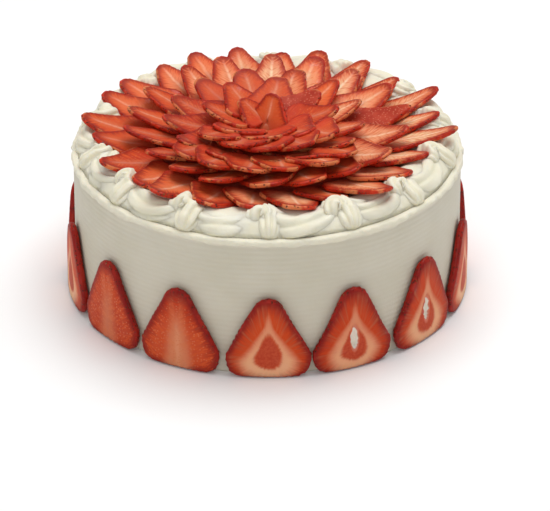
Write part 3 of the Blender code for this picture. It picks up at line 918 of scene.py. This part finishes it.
def make_coat(material):
    """The cake's cream: its outline turned round, with a combed side and a ragged lip above it.
    Grooves follow a wave in height, and the lip's lower edge wanders."""
    around = TAU * np.arange(COAT_COLUMNS) / COAT_COLUMNS
    radius, height = coat_profile()
    level = np.repeat(height[:, None], COAT_COLUMNS, axis=1)
    on_side = ((height > 0.4 * MM) & (radius > CAKE_RADIUS - EDGE_RADIUS)).astype(float)[:, None]
    drift = 0.5 * ripple(around, 3, (2, 3, 5)) + 0.25 * ripple(around, 4, (9, 14))
    stroke = TAU * (level / COMB_PITCH + 0.35 * drift[None, :])
    groove = (0.5 - 0.5 * np.cos(stroke)) ** 1.4
    faint = 0.6 + 0.4 * ripple(around, 5, (2, 3, 7))[None, :]
    band = ease(level, COMB_LOW, COMB_LOW + 2 * MM) * (1.0 - ease(level, COMB_HIGH, COMB_HIGH + MM))
    depth = COMB_DEPTH * groove * faint * band
    lip_wave = ripple(around, 6, (5, 8, 13)) + 0.6 * ripple(around, 7, (21, 34, 47))
    lip_edge = CAKE_HEIGHT - (3.2 + 1.6 * lip_wave[None, :]) * MM
    lip = LIP_THICKNESS * ease(level, lip_edge - 0.4 * MM, lip_edge + 0.4 * MM)
    ragged = ripple(around, 8, (17, 29, 43)) + ripple(around, 9, (61, 83, 107))
    lip = lip * (0.8 + 0.35 * ragged[None, :])
    out = radius[:, None] + on_side * (lip - depth * (1.0 - ease(lip, 0.1 * MM, 0.5 * MM)))
    points = stacked(out * np.cos(around), out * np.sin(around), level)
    keep, faces = pointed_grid(len(radius), COAT_COLUMNS)
    values = {
        # Where the comb's grooves lie, for their painted shade
        "groove": (groove * faint * band * on_side).ravel()[keep],
        # The lip and the top: crumpled, and painted lighter than the side as painted light
        "crumple_and_painted_light": ease(level, CAKE_HEIGHT - 4.5 * MM, CAKE_HEIGHT - 2.0 * MM).ravel()[keep],
    }
    piece = make_piece("combed_coat", points.reshape(-1, 3)[keep], faces, material, values)
    place_piece(piece, ["cake_body"])


def swag_line(share):
    """A swag's middle line, from the head on its left at share 0 to the head on its right at 1:
    azimuth in loops, radius, height above the cake and strand radius. Both ends draw in and rise
    with the square of the way from the middle."""
    left = np.maximum(1.0 - 2.0 * share, 0.0) ** 2
    right = np.maximum(2.0 * share - 1.0, 0.0) ** 2
    loops = SWAG_START + (SWAG_END - SWAG_START) * share
    radius = SWAG_REACH - SWAG_PULL[0] * left - SWAG_PULL[1] * right
    height = SWAG_BED + SWAG_RISE[0] * left + SWAG_RISE[1] * right
    strand = SWAG_STRAND - SWAG_THIN * (left + right)
    strand = strand * rounded(np.minimum(share, 1.0 - share), SWAG_ROUND)
    return loops, radius, height, strand


def head_line(share):
    """A head's middle line, up from the left over its crest and out to the rim on the right:
    azimuth in loops, radius, height above the cake and strand radius."""
    left = np.maximum((HEAD_CREST - share) / HEAD_CREST, 0.0) ** 2
    right = np.maximum((share - HEAD_CREST) / (1.0 - HEAD_CREST), 0.0) ** 1.4
    aside = HEAD_HOOK * (2.0 * ease(share, 0.1, 0.62) - 1.0)
    radius = HEAD_RADIUS + HEAD_PULL[0] * left + HEAD_PULL[1] * right
    height = HEAD_HEIGHT - HEAD_FALL[0] * left - HEAD_FALL[1] * right
    strand = HEAD_STRAND - 0.9 * MM * left - 0.5 * MM * right
    blunt = HEAD_BLUNT + (1.0 - HEAD_BLUNT) * rounded(1.0 - share, HEAD_ROUND[1])
    strand = strand * rounded(share, HEAD_ROUND[0]) * blunt
    return aside / (radius * LOOP_ANGLE), radius, height, strand


def under_slices(points):
    """Lowers the cream that is under an outer slice to the slice's underside, and returns how
    near each point is to a slice, for the juice."""
    juice = np.zeros(len(points))
    slope = ring_slope(OUTER_RING)
    radius = np.hypot(points[:, 0], points[:, 1])
    around = np.arctan2(points[:, 1], points[:, 0])
    for number in range(OUTER_RING.count):
        width, length, form, azimuth, step = ring_slice_sizes(OUTER_RING, number)
        turn = (azimuth - around + math.pi) % TAU - math.pi
        along = (radius * np.cos(turn) - OUTER_RING.base_radius) / math.cos(slope)
        share = np.clip(along / length, 0.0, 1.0)
        half = 0.5 * width * outline_half_width(share, *form)
        beside = np.abs(radius * np.sin(turn)) - half
        outside = np.maximum(beside, np.maximum(along - length, -along))
        outside[np.abs(turn) > 0.5] = 1.0
        past_step = turn + step - azimuth
        under = ring_height(OUTER_RING, radius, past_step) - 0.5 * SLICE_THICKNESS - GAP
        cover = 1.0 - ease(outside, -0.3 * MM, 1.1 * MM)
        points[:, 2] -= np.maximum(points[:, 2] - under, 0.0) * cover
        beneath = 1.0 - ease(under - points[:, 2], 0.0, 2.5 * MM)
        juice = np.maximum(juice, (1.0 - ease(outside, -1.0 * MM, 2.6 * MM)) * beneath)
    return points, juice


def bed_arrays():
    """The bed of cream: a low mound carried round the cake, uneven in height. Across it the
    height falls with a power of the way from its middle."""
    across = np.linspace(-1.0, 1.0, BED_COLUMNS)[None, :]
    around = TAU * np.arange(BED_STATIONS)[:, None] / BED_STATIONS
    wave = 1.0 + 0.16 * ripple(around, 12, (14, 23, 31))
    radius = BED_RADIUS + BED_HALF_WIDTH * across
    height = CAKE_HEIGHT + BED_HEIGHT * wave * (1.0 - np.abs(across) ** BED_POWER)
    points = stacked(radius * np.cos(around), radius * np.sin(around), height)
    under = points.copy()
    under[:, :, 2] = CAKE_HEIGHT - 0.5 * MM
    ring = np.concatenate([points[:, ::-1], under], axis=1).reshape(-1, 3)
    faces = grid_faces(BED_STATIONS, 2 * BED_COLUMNS, True, True)
    # The whole bed takes a little painted shade
    return ring, [faces], {"crease_shade": np.full(len(ring), 0.15)}


def stroke_frame(line, azimuth):
    """Along a stroke's middle line, with its climb eased: the unit vectors across it and up from
    it, and how far its heading turns from straight out."""
    ahead = np.gradient(line, axis=0)
    ahead[:, 2] *= 0.6
    ahead /= np.linalg.norm(ahead, axis=1, keepdims=True)
    aside = np.cross(ahead, (0.0, 0.0, 1.0))
    aside /= np.linalg.norm(aside, axis=1, keepdims=True)
    up = np.cross(aside, ahead)
    outward = np.stack([np.cos(azimuth), np.sin(azimuth)], axis=1)
    turned = outward[:, 0] * ahead[:, 1] - outward[:, 1] * ahead[:, 0]
    heading = np.unwrap(np.arctan2(turned, (outward * ahead[:, :2]).sum(axis=1)))
    return aside, up, heading


def stroke_arrays(number, line_of, ridges, slip):
    """One stroke: a star section carried along its line, its frame kept upright. Ridges meet in
    sharp creases, each the size of a cosine over half a turn. The nozzle itself hardly turns, so
    the ridges slip round the strand as the stroke's heading turns."""
    uneven = [wobble(number, 50 + channel) for channel in range(6)]
    share = np.linspace(0.0, 1.0, STROKE_STATIONS)
    loops, radius, height, strand = line_of(share)
    strand = strand * (1.0 + 0.06 * uneven[0])
    radius = radius + 0.8 * MM * uneven[4]
    height = height + CAKE_HEIGHT + 0.7 * MM * uneven[1]
    azimuth = FIRST_HEAD + LOOP_ANGLE * (number % LOOPS + loops + 0.03 * uneven[2])
    line = np.stack([radius * np.cos(azimuth), radius * np.sin(azimuth), height], axis=1)
    aside, up, heading = stroke_frame(line, azimuth)

    spin = TAU * np.arange(SECTION_POINTS) / SECTION_POINTS
    tooth = spin[None, :] - slip * heading[:, None] + 0.5 * uneven[3]
    tooth = tooth + 0.20 * np.sin(2.0 * tooth + 3.0 * uneven[5])
    tooth = tooth + 0.10 * np.sin(7.0 * share[:, None] + 6.0 * uneven[2])
    ridge = np.sqrt((np.cos(0.5 * ridges * tooth) ** 2 + RIDGE_SOFT) / (1.0 + RIDGE_SOFT))
    wave = np.sin(9.0 * share[:, None] + 2.0 * spin[None, :] + 5.0 * uneven[1])
    wave = wave + 0.6 * np.sin(17.0 * share[:, None] - 3.0 * spin[None, :] + 4.0 * uneven[0])
    fine = 0.022 * np.cos(2.0 * ridges * tooth + 2.0 * np.sin(6.0 * share[:, None]))
    shrink = RIDGE_DEPTH * (1.0 - ridge) ** 1.3
    reach = strand[:, None] * (1.0 - shrink + fine) * (1.0 + 0.035 * wave)
    offset = (
        aside[:, None, :] * (reach * 1.06 * np.cos(spin))[:, :, None]
        + up[:, None, :] * (reach * np.sin(spin))[:, :, None]
    )
    points = (line[:, None, :] + offset).reshape(-1, 3)
    # How deep in a crease each point lies, for the painted shade there
    crease_shade = (1.0 - ridge) ** 1.5
    ring = np.arange(SECTION_POINTS)
    last = (STROKE_STATIONS - 1) * SECTION_POINTS
    sides = grid_faces(STROKE_STATIONS, SECTION_POINTS, False, True)
    faces = [sides, ring[::-1][None, :], (last + ring)[None, :]]
    return points, faces, {"crease_shade": crease_shade.ravel()}


def make_border(material):
    """The piped border: the strokes and their bed, pressed in under the slices, drooping at the
    rim and flattened on the cake."""
    parts = [stroke_arrays(number, swag_line, SWAG_RIDGES, 0.5) for number in range(LOOPS)]
    parts += [stroke_arrays(number + LOOPS, head_line, HEAD_RIDGES, 0.3) for number in range(LOOPS)]
    parts += [bed_arrays()]
    points, faces, values = join_arrays(parts)
    points, juice = under_slices(points)
    reach = np.hypot(points[:, 0], points[:, 1])
    droop = RIM_DROOP * ease(reach, CAKE_RADIUS - 1.2 * MM, CAKE_RADIUS + MM)
    floor = CAKE_HEIGHT + 0.05 * MM - droop
    points[:, 2] = np.maximum(points[:, 2], floor)
    # Low at the foot the cream is crinkled and takes painted shade in its creases and hollows
    low = 1.0 - ease(points[:, 2] - floor, 0.0, 2.5 * MM)
    values["crease_shade"] = np.maximum(values["crease_shade"], 0.5 * low)
    values["juice"] = juice
    values["crumple_and_painted_light"] = low
    piece = make_piece("piped_border", points, faces, material, values)
    place_piece(piece, ["cream_border"])


# Room, light and camera


def make_floor():
    """A plain pale floor, far larger than the view."""
    corners = FLOOR_HALF * np.array([(-1, -1, 0), (1, -1, 0), (1, 1, 0), (-1, 1, 0)])
    floor = make_piece("floor", corners, [np.array([[0, 1, 2, 3]])], floor_finish())


def make_lights():
    """Soft studio light: a dim pale room, a broad square light overhead, one behind the camera,
    and weak ones on the left and right, all turned to the cake."""
    world = bpy.data.worlds.new("studio")
    bpy.context.scene.world = world
    world.use_nodes = True
    background = world.node_tree.nodes["Background"]
    background.inputs["Color"].default_value = (1.0, 1.0, 1.0, 1.0)
    background.inputs["Strength"].default_value = ROOM_LIGHT
    bpy.context.scene.view_settings.view_transform = "Standard"
    for name, (place, size, power) in LIGHTS.items():
        data = bpy.data.lights.new(name, "AREA")
        data.shape = "SQUARE"
        data.size = size
        data.energy = power
        lamp = bpy.data.objects.new(name, data)
        lamp.location = place
        lamp.rotation_euler = (Vector(LIGHT_AIM) - Vector(place)).to_track_quat("-Z", "Y").to_euler()
        bpy.context.scene.collection.objects.link(lamp)


def make_camera():
    """The photograph's view: aimed a little above and right of the foot's middle."""
    data = bpy.data.cameras.new("camera")
    data.lens = CAMERA_LENS
    data.sensor_width = 36.0
    data.clip_end = 100.0
    camera = bpy.data.objects.new("camera", data)
    aim = Vector(CAMERA_AIM)
    back = Vector((0.0, -math.cos(CAMERA_ELEVATION), math.sin(CAMERA_ELEVATION)))
    camera.location = aim + back * CAMERA_DISTANCE
    camera.rotation_euler = back.to_track_quat("Z", "Y").to_euler()
    bpy.context.scene.collection.objects.link(camera)
    bpy.context.scene.camera = camera


make_camera()
make_lights()
make_floor()
make_coat(coat_finish())
make_border(border_finish())
berry = berry_finish()
make_side_slices(berry)
make_flower(berry)
